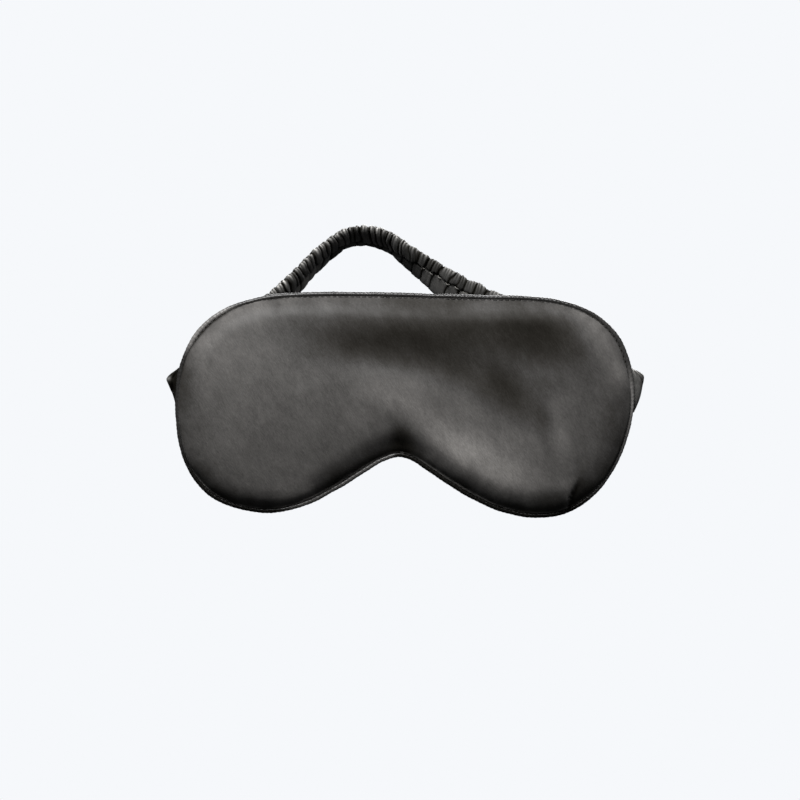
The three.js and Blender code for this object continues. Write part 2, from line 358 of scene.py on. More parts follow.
def ribbed(name, dark, light, pitch, roughness):
    """A woven or twisted material with ribs `pitch` millimetres apart along Z."""
    n = Nodes(name)
    wave = n.add("TexWave", wave_type="BANDS", bands_direction="DIAGONAL")
    wave.inputs["Scale"].default_value = 0.5
    wave.inputs["Distortion"].default_value = 1.5
    n.link(n.place(0, (pitch, pitch, pitch)), wave.inputs["Vector"])
    base = n.mix(wave.outputs["Fac"], dark, light)
    rough = n.span(wave.outputs["Fac"], 0, 1, roughness, roughness + 0.1)
    return n.finish(base, rough, n.bump(wave.outputs["Fac"], pitch * 0.3, 0.8))


SATIN_FRONT = satin("satin_front", colour(92, 90, 88))
SATIN_BACK = satin("satin_back", colour(86, 84, 82))
# The piping is cut from the same satin as the mask; its darker colour is painted shade for the rim.
SATIN_PIPING = satin("satin_piping", colour(52, 51, 50), (0.26, 0.36), 0.05, 0.6)
SATIN_STRAP = satin("satin_strap", colour(92, 91, 89), (0.36, 0.5), 0.15, 0.5)
LINING = plain_cloth("lining_cloth", colour(20, 20, 20), colour(30, 30, 30), 0.4, 0.85)
WADDING = plain_cloth("wadding_fibre", colour(196, 192, 184), colour(222, 219, 212), 1.2, 0.95)
CORD = ribbed("twisted_cord", colour(22, 22, 22), colour(40, 40, 40), 0.6, 0.7)
ELASTIC = ribbed("woven_elastic", colour(20, 20, 20), colour(38, 38, 38), 0.8, 0.7)
THREAD = ribbed("sewing_thread", colour(64, 63, 61), colour(90, 88, 86), 0.25, 0.6)
PALE_THREAD = ribbed("pale_thread", colour(120, 118, 114), colour(160, 158, 152), 0.3, 0.5)

# ---------------------------------------------------------------- panels

PANEL_SPACING = 2.0
SEAM_INSET = 2.1  # the panels meet the piping this far in from the outline
RINGS = (0, 0.5, 1.0, 1.6, 2.4, 3.4, 4.7)  # rows of points that follow the seam, in from it
SKIN = 0.5
LINING_MARGIN = 2.0  # how far in from the seam the lining begins
LINING_GAP = 1.5
LINING_SKIN = 0.4
WADDING_MARGIN = 5.3  # how far in from the seam the wadding begins
PRESSURE = 0.6
MOST_MOVED = 2.5  # no point of the cloth moves more than this as it is blown up
SIMULATED_FRAMES = 20
SWELL = 1.15  # how far the padding swells out over the piping

# Soft relief of the front, each as place across, height, half-width, half-height, turn in degrees
# and how far it stands out of the crown. Hollows are negative.
FRONT_RELIEF = (
    (16, 32, 66, 13, -4, 0.9),  # roll of padding along the brow
    (5, 14, 50, 9, -10, -1.6),  # hollow across both eyes
    (52, -4, 24, 8, -42, -1.4),  # its run down to the right
    (32, -30, 26, 15, -18, 1.8),  # right cheek
    (-14, -6, 22, 13, 10, 0.8),  # bridge
    (-62, -14, 30, 24, 0, 0.7),  # left cheek
    (82, 22, 9, 16, 25, 0.7),  # right temple
    (70, -20, 4, 18, 12, 0.5),  # soft fold beside the cheek
)

# Painted light on the front, in the same form: lighter where a painted highlight stands for the satin's
# sheen, darker where painted shade stands for the dark it reflects.
FRONT_PAINTED_LIGHT = (
    (8, 25, 52, 9, -3, -0.9),  # below the brow
    (42, 31, 32, 4, -3, -0.45),
    (4, 41, 22, 5, 0, -0.4),
    (62, 24, 22, 14, -20, -0.8),
    (-24, 19, 22, 7, 0, -0.45),
    (2, 12, 16, 5, -10, -0.35),
    (26, 8, 22, 8, -30, -0.75),
    (42, 4, 12, 6, -50, -0.35),
    (50, -4, 17, 8, -60, -0.5),  # down to the right cheek
    (-10, 0, 20, 8, -12, 0.2),  # bridge
    (-22, -13, 8, 6, 0, 0.3),
    (10, -15, 24, 9, -35, 0.5),
    (40, -36, 24, 12, -25, 0.85),  # right cheek
    (27, -6, 10, 6, -30, 0.2),
    (60, -22, 16, 5, 0, 0.2),
    (64, 1, 9, 6, 0, -0.25),
    (64, -49, 8, 5, 0, -0.6),
    (-80, 22, 24, 18, 40, 0.25),  # left temple
    (-50, -47, 11, 5, 12, 0.95),
    (-100, 1, 5, 9, 0, -0.5),  # painted shade beside the left strap end
    (-90, 26, 5, 14, -38, 0.3),
    (86, 26, 7, 14, 30, 0.75),  # right temple
    (97, 10, 6, 7, 15, 0.7),
    (62, 37, 14, 3, -6, 0.25),  # along the top seam
    (12, 38, 14, 4, 0, -0.2),
    (-50, 37, 8, 5, 0, -0.15),
    (62, -16, 4, 13, 12, -0.3),  # painted light and shade of soft upright folds beside the cheek
    (70, -18, 4, 20, 12, 0.25),
    (79, -36, 4, 13, 12, -0.2),
    (92, -10, 7, 12, 0, -0.35),
    (-2, -24, 5, 9, 0, -1.1),  # painted shade in the pinch over the nose
)


def soft_patches(flat, patches):
    """The sum of soft oval patches, one value for each flat point."""
    total = np.zeros(len(flat))
    for across, up, half_width, half_height, turn, amount in patches:
        angle = math.radians(turn)
        x, z = flat[:, 0] - across, flat[:, 1] - up
        along = (x * math.cos(angle) + z * math.sin(angle)) / half_width
        over = (z * math.cos(angle) - x * math.sin(angle)) / half_height
        total += amount * np.exp(-(along ** 2) - over ** 2)
    return total


def panel_net(spacing=PANEL_SPACING, inset=SEAM_INSET):
    """An even net of triangles inside the seam line, its first points being the seam itself."""
    rows = [EDGE - EDGE_OUT * (inset + ring) for ring in RINGS]
    margin = inset + RINGS[-1] + spacing * 0.7
    low, high = EDGE.min(axis=0), EDGE.max(axis=0)
    step = spacing * math.sqrt(0.75)
    grid = []
    for row, z in enumerate(np.arange(low[1], high[1], step)):
        shift = spacing / 2 if row % 2 else 0
        grid += [(x + shift, z) for x in np.arange(low[0], high[0], spacing)]
    grid = np.array(grid)
    distance, index = nearest_edge(grid)
    inside = ((EDGE[index] - grid) * EDGE_OUT[index]).sum(axis=1) > 0
    flat = np.vstack(rows + [grid[inside & (distance > margin)]])
    count = len(EDGE)
    border = [(i, (i + 1) % count) for i in range(count)]
    result = delaunay_2d_cdt([Vector(p) for p in flat], border, [], 1, 1e-4)
    points = np.array([tuple(p) for p in result[0]])
    return points, [tuple(f) for f in result[2]]


def crown(inward, rise, shoulder=10.0, top_share=0.34):
    """Height of the padding at a distance in from the seam: a round shoulder, then a slow rise."""
    near = np.clip(inward / shoulder, 0, 1)
    far = 1 - np.exp(-inward / (2.4 * shoulder))
    return rise * ((1 - top_share) * np.sqrt(1 - (1 - near) ** 2) + top_share * 1.25 * far)


def seam_place(index, inward):
    """Points for noise that run along the seam and, more slowly, away from it."""
    turn = index / len(EDGE) * 2 * np.pi
    reach = EDGE_LENGTH / (2 * np.pi)
    return np.c_[np.cos(turn) * reach, np.sin(turn) * reach, inward * 0.15]


def blow_up(points, faces, held, gather, pressure, cap):
    """Closed cloth blown up by cloth simulation: pinned where held is 1, with spare cloth where
    gather is 1, no point moved more than cap. The solver works in centimetres."""
    to_solver = 0.1
    mesh = bpy.data.meshes.new("pillow")
    mesh.from_pydata((points * to_solver).tolist(), [], faces)
    pillow = bpy.data.objects.new("pillow", mesh)
    scene = bpy.context.scene
    scene.collection.objects.link(pillow)
    for name, weights in (("held", held), ("gather", gather)):
        group = pillow.vertex_groups.new(name=name)
        for i, weight in enumerate(weights):
            group.add([i], float(weight), "REPLACE")
    cloth = pillow.modifiers.new("cloth", "CLOTH")
    settings = cloth.settings
    settings.quality = 6
    settings.mass = 0.3
    settings.tension_stiffness = 25
    settings.compression_stiffness = 25
    settings.shear_stiffness = 12
    settings.bending_stiffness = 0.02
    settings.use_pressure = True
    settings.uniform_pressure_force = pressure
    settings.vertex_group_mass = "held"
    settings.pin_stiffness = 1
    settings.vertex_group_shrink = "gather"
    settings.shrink_min = 0.0
    settings.shrink_max = -0.09
    settings.effector_weights.gravity = 0
    cloth.collision_settings.use_collision = False
    cloth.point_cache.frame_end = SIMULATED_FRAMES
    for number in range(1, SIMULATED_FRAMES + 1):
        scene.frame_set(number)
    blown = pillow.evaluated_get(bpy.context.evaluated_depsgraph_get()).to_mesh()
    moved = np.array([v.co for v in blown.vertices]) / to_solver - points
    scene.frame_set(1)
    bpy.data.objects.remove(pillow)
    length = np.linalg.norm(moved, axis=1)
    return points + moved * (cap * np.tanh(length / cap) / np.maximum(length, 1e-6))[:, None]


def pinned_pillow(flat, faces, front, back, inward, index):
    """Front and back skins sewn together at the seam and padded out."""
    seam = len(EDGE)
    behind = len(flat) - seam
    points = np.vstack([np.c_[flat[:, 0], SEAM_Y - front, flat[:, 1]],
                        np.c_[flat[:, 0], SEAM_Y + back, flat[:, 1]][seam:]])
    joined = [f[::-1] for f in faces]
    joined += [tuple(v if v < seam else v + behind for v in f) for f in faces]
    top = smooth_step(EDGE_OUT[index, 1], 0.3, 0.95)
    held = np.where(inward < 0.2, 1.0, 0.02 + 0.25 * smooth_step(inward, 4, 16))
    gather = (0.45 + 0.55 * top) * np.exp(-inward / 7)
    held, gather = (np.r_[w, w[seam:]] for w in (held, gather))
    points = blow_up(points, joined, held, gather, PRESSURE, MOST_MOVED)
    return points[:len(flat)], np.vstack([points[:seam], points[len(flat):]])


def nose_pinch(flat):
    """A sharp fold drawn up from the notch: deep at the seam, fading out above it."""
    x, z = flat[:, 0] + 2, flat[:, 1] + 29
    width = 1.2 + 4.5 * np.clip(1 - z / 15, 0, 1)
    return np.exp(-np.abs(x + 0.15 * z) / width) * smooth_step(-z, -17, 1)


def lobe_tuck(flat):
    """A fold in the right lobe's edge: raised along its left side, sunk along its right."""
    x, z = flat[:, 0], flat[:, 1]
    across = x - (73.2 + 0.035 * (z + 53) ** 2)
    fade = smooth_step(-z, 38, 46)
    raised = np.where(across < 0, np.exp(across / 7), 0)
    sunk = np.where(across < 0, 0, np.exp(-across / 3))
    crest = bell(across + 0.8, 0.6)
    return fade * raised, fade * sunk, fade * crest


def side_swell(points, inward, index):
    """The padding swells out over the piping at both sides, and a little at the top."""
    out = EDGE_OUT[index]
    left = smooth_step(-out[:, 0], 0.8, 0.97)
    right = smooth_step(out[:, 0], 0.55, 0.9) * smooth_step(-out[:, 1], -0.25, 0.1)
    top = 0.5 * smooth_step(out[:, 1], 0.9, 0.99)
    window = smooth_step(inward, 0, 1.4) * np.exp(-(np.clip(inward - 1.4, 0, None) / 5) ** 2)
    shift = SWELL * (left + right + top) * window
    points[:, 0] += out[:, 0] * shift
    points[:, 2] += out[:, 1] * shift
    points[:, 1] -= 0.7 * (left + right) * bell(inward - 0.9, 0.8)


def panel_shapes(flat, faces, inward, index):
    """Points of the front and back panels, and the painted light and shade of the front."""
    place = seam_place(index, inward)
    along = place * [1, 1, 0]
    wobble = 0.22 * smooth_step(inward, 0, 5) * (1 - smooth_step(inward, 12, 25))
    uneven = inward / (1 + wobble * field(along, 24, 8))
    front = crown(uneven, FRONT_RISE + 1.6)
    back = crown(uneven, BACK_RISE + 0.6)
    front, back = pinned_pillow(flat, faces, front, back, inward, index)

    top = smooth_step(EDGE_OUT[index, 1], 0.5, 0.95)
    under = smooth_step(-EDGE_OUT[index, 1], 0.0, 0.6)
    puckers = field(place, 3.0, 1) * np.exp(-inward / 2.2) * (0.13 + 0.07 * top)
    puckers += field(place, 7.0, 2) * np.exp(-inward / 6) * (0.22 + 0.04 * top)
    puckers *= np.clip(inward / 0.5, 0, 1)
    lip = bell(inward - 0.45 - 0.3 * field(along, 5, 3), 0.32) * under
    raised, sunk, crest = lobe_tuck(flat)
    relief = soft_patches(flat, FRONT_RELIEF) * smooth_step(inward, 0, 10)
    relief -= 3.0 * nose_pinch(flat) * smooth_step(inward, 0, 5)
    relief += (1.3 * raised - 0.7 * sunk) * smooth_step(inward, -0.4, 1.5)
    front[:, 1] -= relief + puckers + 0.45 * lip
    side_swell(front, inward, index)
    back[:, 1] += puckers

    # Painted light and shade of the front: the listed patches, the puckers' own light and shade, painted
    # shade where the panel rolls under along its lower and left edges and in the gap at the seam,
    # painted highlights on the lip and on the tuck's crest, and painted shade on the tuck's sunk side.
    ragged = 1 + 0.55 * field(along, 10, 4) + 0.3 * field(along, 4, 5)
    rim = np.exp(-inward / (3.4 * np.clip(ragged, 0.3, 2)))
    painted_light = soft_patches(flat, FRONT_PAINTED_LIGHT) + 0.9 * puckers
    out = EDGE_OUT[index]
    left = smooth_step(-out[:, 0], 0.85, 0.97) * (1 - under)
    corners = smooth_step(out[:, 1], -0.1, 0.15) * (1 - smooth_step(out[:, 1], 0.85, 0.97))
    painted_light -= (0.05 + 0.8 * under + 0.45 * left) * rim
    gap = np.clip(0.7 + 0.6 * (ragged - 1), 0.3, 2) - 0.25 * (out[:, 0] > 0)
    painted_light -= 1.8 * corners * np.exp(-(inward / gap) ** 2)
    painted_light += 1.3 * lip + 0.5 * crest - 1.3 * sunk
    return front, back, painted_light


def inside_net(faces, inward, margin):
    """The part of the net more than `margin` in from the seam: which points, its faces, rim."""
    kept = np.where(inward > margin)[0]
    place = {old: new for new, old in enumerate(kept)}
    inner = [tuple(place[v] for v in f) for f in faces if all(v in place for v in f)]
    sides = {}  # in the order in which the faces give them
    for f in inner:
        for a, b in zip(f, f[1:] + f[:1]):
            sides[(a, b)] = True
    rim = [(a, b) for a, b in sides if (b, a) not in sides]
    return kept, inner, rim


def build_lining(faces, inward, front):
    """The light-proof cloth that lies just under the front panel."""
    kept, inner, _ = inside_net(faces, inward, LINING_MARGIN)
    sheet = front[kept] + [0, LINING_GAP, 0]
    lining = make_object("lining", sheet, [f[::-1] for f in inner], [LINING])
    solid = lining.modifiers.new("thickness", "SOLIDIFY")
    solid.thickness = LINING_SKIN * MM
    solid.offset = -1
    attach(lining, "mask")
    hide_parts("blackout_lining")


def build_wadding(flat, faces, inward, front, back):
    """The fluffy pad that fills the mask between its lining and its back panel."""
    kept, inner, rim = inside_net(faces, inward, WADDING_MARGIN)
    taper = smooth_step(inward[kept], WADDING_MARGIN - 0.5, WADDING_MARGIN + 5.5)
    middle = SEAM_Y - 1.0
    front_room, back_room, half_rim = 3.0, 1.6, 0.4
    fluff = 0.35 * field(flat[kept][:, [0, 1, 1]], 4, 12)
    ahead = middle + (front[kept][:, 1] + front_room - middle) * taper + fluff
    behind = middle + (back[kept][:, 1] - back_room - middle) * taper + fluff[::-1]
    ahead = np.minimum(ahead, middle - half_rim)
    behind = np.maximum(behind, middle + half_rim)
    points = np.vstack([np.c_[flat[kept][:, 0], depth, flat[kept][:, 1]] for depth in (ahead, behind)])
    half = len(kept)
    faces = [f[::-1] for f in inner] + [tuple(v + half for v in f) for f in inner]
    faces += [(a, b, b + half, a + half) for a, b in rim]
    pad = make_object("wadding", points, faces, [WADDING])
    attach(pad, "mask")
    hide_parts("wadding_pad")


def strap_openings(flat, faces):
    """The net without the two openings in the seam where the strap's ends pass in."""
    tacks = [box_mm(name) for name in ("bar_tack_left", "bar_tack_right")]
    (left_end, _), (_, right_end) = tacks
    past_tack, above_tack = 3.5, 0.8
    half_height = tacks[0][1][2] + above_tack
    beyond = (flat[:, 0] < left_end[0] + past_tack) | (flat[:, 0] > right_end[0] - past_tack)
    open_here = beyond & (np.abs(flat[:, 1]) < half_height)
    return [f for f in faces if not all(open_here[v] for v in f)]


def build_panels():
    """The front and back panels, and the lining and wadding between them."""
    flat, faces = panel_net()
    distance, index = nearest_edge(flat)
    inward = np.clip(distance - SEAM_INSET, 0, None)
    front, back, painted_light = panel_shapes(flat, faces, inward, index)
    for name, node, shape, side, material, painted_shading in (
        ("front_cover", "front_panel", front, -1, SATIN_FRONT, painted_light),
        ("back_cover", "back_panel", back, 1, SATIN_BACK, painted_light * 0),
    ):
        turned = strap_openings(flat, faces) if side > 0 else [f[::-1] for f in faces]
        panel = make_object(name, shape + [0, 0.15 * side, 0], turned, [material])
        set_painted_light(panel, painted_shading)
        panel.modifiers.new("smooth", "SUBSURF").render_levels = 1
        solid = panel.modifiers.new("thickness", "SOLIDIFY")
        solid.thickness = SKIN * MM
        solid.offset = -1
        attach(panel, "mask")
        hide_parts(node)
    build_lining(faces, inward, front)
    build_wadding(flat, faces, inward, front, back)


build_panels()

# ---------------------------------------------------------------- piping


def resample(values, at):
    """Values of the evenly spaced edge samples at places counted in samples."""
    low = np.floor(at).astype(int)
    part = (at - low)[:, None]
    return values[low % len(values)] * (1 - part) + values[(low + 1) % len(values)] * part


def edge_track(step, inset):
    """Points every `step` mm round the edge, `inset` inside it, and their outward directions."""
    at = np.arange(int(EDGE_LENGTH / step)) * len(EDGE) * step / EDGE_LENGTH
    out = unit(resample(EDGE_OUT, at))
    return resample(EDGE, at) - out * inset, out


def build_piping():
    """Bias-cut satin round the cord, drawn into fine slanting wrinkles."""
    step, around = 0.42, 14
    centre, out = edge_track(step, 1.15)
    count = len(centre)
    along = np.arange(count) * step
    drift = field(np.c_[centre, np.zeros(count)], 9, 21) * 0.12
    angle = np.linspace(0, 2 * np.pi, around, endpoint=False)[None, :]
    slant = 2 * np.pi * (along[:, None] / 1.9 + 0.25 * drift[:, None]) + 1.0 * angle
    radius = 1.08 + 0.5 * drift[:, None] + 0.05 * np.sin(slant) + 0.03 * np.sin(0.43 * slant + 1)
    reach = np.cos(angle) * radius + drift[:, None]
    flat = centre[:, None] + out[:, None] * reach[..., None]
    points = np.stack([flat[..., 0], SEAM_Y - np.sin(angle) * radius, flat[..., 1]], axis=-1)
    rim = make_object("piping", points.reshape(-1, 3), tube_faces(count, around, True),
                      [SATIN_PIPING])
    # Painted glints along the piping where it faces up-left, right and up-right and on the left lobe's
    # lower-right flank, and painted shade along its lower edges.
    painted_glints = 1.5 * smooth_step(out @ (-0.7, 0.71), 0.88, 0.97)
    painted_glints = painted_glints + 1.6 * smooth_step(out @ (0.94, -0.34), 0.8, 0.97)
    painted_glints = painted_glints + 0.35 * smooth_step(out @ (0.85, 0.53), 0.85, 0.97)
    painted_glints = painted_glints + 1.8 * smooth_step(out @ (0.5, -0.87), 0.9, 0.99) * (centre[:, 0] < -5)
    painted_shading = np.repeat(painted_glints - 0.9 * smooth_step(-out[:, 1], 0, 0.7), around)
    set_painted_light(rim, painted_shading)
    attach(rim, "mask")
    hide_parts("piping_cover")


def build_seam_stitches():
    """Lockstitches in the groove between the front panel and the piping."""
    step, inset, around = 0.3, 2.25, 6
    stitch, gap, thick = 7, 2, 0.2
    track, out = edge_track(step, inset)
    angle = np.linspace(0, 2 * np.pi, around, endpoint=False)
    points, faces = [], []
    for start in range(0, len(track) - stitch, stitch + gap):
        radius = thick * np.sin(np.linspace(0.6, np.pi - 0.6, stitch))
        base = len(points) * around
        for k in range(stitch):
            ring = track[start + k] + out[start + k] * (np.cos(angle) * radius[k])[:, None]
            depth = SEAM_Y - 0.85 - np.sin(angle) * radius[k]
            points.append(np.c_[ring[:, 0], depth, ring[:, 1]])
        faces += [tuple(base + v for v in f) for f in tube_faces(stitch, around, False)]
    row = make_object("seam_stitches", np.vstack(points), faces, [THREAD])
    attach(row, "mask")
    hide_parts("seam_thread")


build_seam_stitches()
build_piping()

# ---------------------------------------------------------------- strap


CAP_SLANT = 0.2  # the strap's end is cut a little aslant, by less than this


def ribbon_sections(node):
    """Middle and width direction of each section along a swept strip, from its own mesh. It starts
    at the whole end cap at the left seam and follows the mesh one section at a time."""
    points, pairs = node_points(node)
    joined = {i: set() for i in range(len(points))}
    for a, b in pairs:
        joined[a].add(b)
        joined[b].add(a)
    seam_side = points[:, 0] < points[:, 0].min() + 20
    first_cap = np.where(seam_side & (points[:, 1] < points[seam_side][:, 1].min() + 1.2))[0]
    inner = points[first_cap][:, 0].max()
    layer = {i for i in first_cap if points[i, 0] > inner - CAP_SLANT}
    seen, sections = set(layer), []
    while layer:
        sections.append(points[sorted(layer)])
        following = {j for i in layer for j in joined[i]} - seen
        seen |= following
        layer = following
    middles = np.array([s.mean(axis=0) for s in sections])
    widths = []
    for section, middle in zip(sections, middles):
        direction = np.linalg.svd(section - middle)[2][0]
        if widths and direction @ widths[-1] < 0 or not widths and direction[2] < 0:
            direction = -direction
        widths.append(direction)
    return middles, np.array(widths)


def along_curve(values, at, query):
    """Values carried smoothly from their places `at` to the places asked for."""
    slope = np.gradient(values, at, axis=0)
    i = np.clip(np.searchsorted(at, query) - 1, 0, len(at) - 2)
    gap = (at[i + 1] - at[i])[:, None]
    t = ((query - at[i])[:, None] / gap).clip(0, 1)
    a, b = values[i], values[i + 1]
    lead, trail = slope[i] * gap, slope[i + 1] * gap
    return (a * (1 + 2 * t) * (1 - t) ** 2 + lead * t * (1 - t) ** 2
            + b * t * t * (3 - 2 * t) + trail * t * t * (t - 1))


class StrapLine:
    """The strap's middle line, its width direction and its face direction, sampled evenly."""

    STEP = 0.4

    def __init__(self):
        middles, widths = ribbon_sections("strap_elastic")
        at = np.r_[0, np.cumsum(np.linalg.norm(np.diff(middles, axis=0), axis=1))]
        count = int(at[-1] / self.STEP)
        self.at = np.linspace(0, at[-1], count)
        self.middle = along_curve(middles, at, self.at)
        forward = unit(np.gradient(self.middle, self.at, axis=0))
        width = along_curve(widths, at, self.at)
        width -= (width * forward).sum(axis=1)[:, None] * forward
        self.forward, self.width = forward, unit(width)
        self.face = np.cross(self.forward, self.width)
        self.length = at[-1]

    def span(self, node):
        """First and last sample that a CAD length of the strap covers."""
        points, _ = node_points(node)
        low, high = self.length, 0
        for p in points:
            nearest = np.linalg.norm(self.middle - p, axis=1).argmin()
            low, high = min(low, self.at[nearest]), max(high, self.at[nearest])
        return low, high


STRAP = StrapLine()
STRAP_LENGTHS = ("strap_end_left", "strap_cover_left", "strap_cover_crown",
                 "strap_cover_right", "strap_end_right")

HALF_WIDTH = 9.4
HALF_THICKNESS = 1.7
FACE_POINTS = 34  # points across each face of the sleeve
ELASTIC_POINTS = 22
ELASTIC_HALF_THICKNESS = 0.4
SEWN_SHARE = 0.4  # of the sleeve's thickness is left where it is sewn down
STITCHED_RUN = (0.56, 0.84)  # where the seam's stitches show, as shares of the strap
STITCH_ROOM = 12  # samples that one stitch and its gap take up


class Pleats:
    """Uneven pleats counted along the strap: each has its own height, tilt and painted shade."""

    def __init__(self, pitch, seed):
        rng = np.random.default_rng(seed)
        count = int(STRAP.length / pitch) + 30
        self.pitch = pitch
        self.starts = np.cumsum(rng.uniform(0.62, 1.4, count)) * pitch - 6 * pitch
        self.tall = rng.uniform(0.6, 1.0, count)
        self.tilt = rng.uniform(-1, 1, count)
        self.shade = rng.uniform(-1, 1, count)

    def at(self, places, sharp=0.45, lean=0.5):
        """Height, closeness to a crease and painted shade at the places asked for."""
        phase = np.interp(places, self.starts, np.arange(len(self.starts)))
        own = np.floor(phase).astype(int)
        part = phase - own
        height = self.tall[own] * (4 * part * (1 - part)) ** sharp
        height = height + lean * self.tilt[own] * (part - 0.5)
        crease = bell(np.minimum(part, 1 - part) * self.pitch, 0.4)
        return height, crease, self.shade[own]


def seam_line():
    """Where the sleeve's lengthwise seam runs all along the strap, as a share of the half width:
    low over the crown, high on the right-hand run, with a step at each wide pleat."""
    across = STRAP.middle[:, 0]
    step = Pleats(6.5, 6).at(STRAP.at, 0.4, 1.2)[0]
    return 0.36 * smooth_step(across, -6, 14) - 0.35 * bell(across + 16, 13) + 0.14 * (step - 0.6)


def around_section(count=FACE_POINTS):
    """Share of the half width, share of the half thickness and face of each point of a section."""
    across = np.sin(np.linspace(-1, 1, count) * np.pi / 2)
    lift = (1 - np.abs(across) ** 3) ** 0.5
    share = np.r_[across[::-1], across[1:-1]]
    side = np.r_[np.ones(count), -np.ones(count - 2)]
    return share, np.r_[lift[::-1], lift[1:-1]] * side, side


def tucked_tabs(points):
    """The loops at both sides slip behind the mask's edge towards their lower corners."""
    x, z = points[..., 0], points[..., 2]
    reach = np.where(x < 0, -EDGE[:, 0].min(), EDGE[:, 0].max()) - 0.6
    beyond = np.clip(np.abs(x) - reach, 0, None)
    below = np.where(x < 0, np.clip((5.5 - z) / 16, 0, 1), np.clip((-1 - z) / 11, 0, 1) ** 2)
    above = np.where(x < 0, np.clip((z - 5) / 5, 0, 1) ** 1.6, np.clip((z - 6.2) / 4.4, 0, 1) ** 2)
    points[..., 0] = x - np.sign(x) * beyond * np.minimum(below + above, 0.9)
    return points


def tab_tone(points):
    """The left loop lies in shade but for its tip, and the right loop catches the light."""
    x, z = points[..., 0], points[..., 2]
    tip = bell(z - 5.6, 1.5) * smooth_step(-x, 105.5, 107.5)
    return smooth_step(-x, 101, 104) * (2.6 * tip - 1.9) + 0.5 * smooth_step(x, 100, 103)


def sleeve_surface():
    """Rings of the gathered sleeve, with the painted light and shade of the cloth at each point."""
    share, thick, side = around_section()
    s, c = STRAP.at[:, None], share[None, :]
    front = side[None, :] > 0
    flow = np.array([[noise.noise(Vector((a / 7, b * 1.3, k * 3.0))) for k, b in zip(side, share)]
                     for a in STRAP.at]) * 1.5
    right = smooth_step(STRAP.middle[:, 0], -8, 12)[:, None]
    narrow = Pleats(3.5, 5).at(s + 1.1 * flow + 1.3 * c, 0.3, 0.8)
    broad = Pleats(5.2, 9).at(s + 1.3 * flow - 1.6 * c, 0.22, 1.0)
    dense = [a * (1 - right) + b * right for a, b in zip(narrow, broad)]
    wide = Pleats(6.5, 6).at(s + 0.8 * flow - 1.2 * c, 0.2, 0.9)
    fine = Pleats(1.6, 7).at(s + 0.6 * flow + 0.5 * c, 0.7, 0.2)
    line = seam_line()[:, None]
    upper = smooth_step(c - line, -0.02, 0.04)
    groove = bell((c - line) * HALF_WIDTH, 0.34) * front

    tab = 1 - smooth_step(np.minimum(s, STRAP.length - s), 12, 30)
    calm = 1 - 0.5 * tab
    slack = 1 - 0.45 * right
    gathers = upper * slack * (1.5 * dense[0] + 0.3 * fine[0] + 0.3)
    gathers = gathers + (1 - upper) * (slack * wide[0] + 0.2 * dense[0])
    sewn = smooth_step(np.minimum(s, STRAP.length - s), 2, 6.5)
    height = ((gathers - 0.95) * calm - 0.8 * groove * (1 - tab)) * sewn
    flat_edge = (1 - np.abs(c) ** 6) ** 0.5

    top_edge = np.clip(c, 0, 1) ** 5
    low_edge = np.clip(-c, 0, 1) ** 5
    ruffle = top_edge * (1.9 * dense[0] + 1.1 * fine[0] - 1.5)
    ruffle = ruffle - low_edge * (0.8 * wide[0] + 0.5 * dense[0] - 0.6)
    width = HALF_WIDTH * c + ruffle * calm
    rise = HALF_THICKNESS * (SEWN_SHARE + (1 - SEWN_SHARE) * sewn) * thick[None, :]
    rise = rise + height * side[None, :] * flat_edge
    points = (STRAP.middle[:, None] + STRAP.width[:, None] * width[..., None]
              + STRAP.face[:, None] * rise[..., None])
    points = tucked_tabs(points)
    # Painted light and shade of the sleeve: painted shade in its creases and seam groove, a darker
    # painted band low over the crown and a lighter one along the runs, and painted highlights on the
    # ruffled top edge.
    away = smooth_step(np.abs(STRAP.middle[:, 0] + 18), 10, 30)[:, None]
    tone = upper * (0.3 * dense[2] - 2.2 * dense[1] - 0.25 * right)
    left = 1 - smooth_step(STRAP.middle[:, 0], -60, -36)[:, None]
    painted_band_light = 1.1 * away - 0.7 + 0.9 * left * front
    tone = tone + (1 - upper) * (0.4 * wide[2] - 2.6 * wide[1] + painted_band_light)
    tone = tone * calm - 2.2 * groove * (1 - tab)
    tone = tone + top_edge * (1.0 * dense[0] + 0.6 * fine[0] - 1.6 * fine[1])
    return points, tone + tab_tone(points)


def elastic_surface():
    """Rings of the flat woven elastic inside the sleeve, its cords standing up as ribs."""
    low, high = box_mm("bar_tack_left")
    share, thick, side = around_section(ELASTIC_POINTS)
    half_width = 0.3 * (high[2] - low[2])
    rib = 0.12 * np.cos(share * 5 * np.pi) * side
    rise = ELASTIC_HALF_THICKNESS * thick + rib * (1 - share ** 6)
    points = (STRAP.middle[:, None] + STRAP.width[:, None] * (half_width * share)[None, :, None]
              + STRAP.face[:, None] * rise[None, :, None])
    return tucked_tabs(points)


def seam_stitches(first, last):
    """Short stitches along the sleeve's seam, between two samples of the strap: each stands up in
    its middle and goes down into the cloth at both ends."""
    line = (seam_line() - 0.03) * HALF_WIDTH
    track = STRAP.middle + STRAP.width * line[:, None] + STRAP.face * (HALF_THICKNESS + 0.1)
    stitch, gap, around = 9, 3, 6
    points, faces = [], []
    angle = np.linspace(0, 2 * np.pi, around, endpoint=False)
    for start in range(first, last - stitch, stitch + gap):
        taper = 0.26 * np.sin(np.linspace(0.5, np.pi - 0.5, stitch))
        sunk = 1.1 * np.linspace(-1, 1, stitch) ** 2
        base = len(points) * around
        for k in range(stitch):
            i = start + k
            ring = STRAP.width[i] * np.cos(angle)[:, None] + STRAP.face[i] * np.sin(angle)[:, None]
            points.append(track[i] - STRAP.face[i] * sunk[k] + ring * taper[k])
        faces += [tuple(base + v for v in f) for f in tube_faces(stitch, around, False)]
    return np.vstack(points), faces


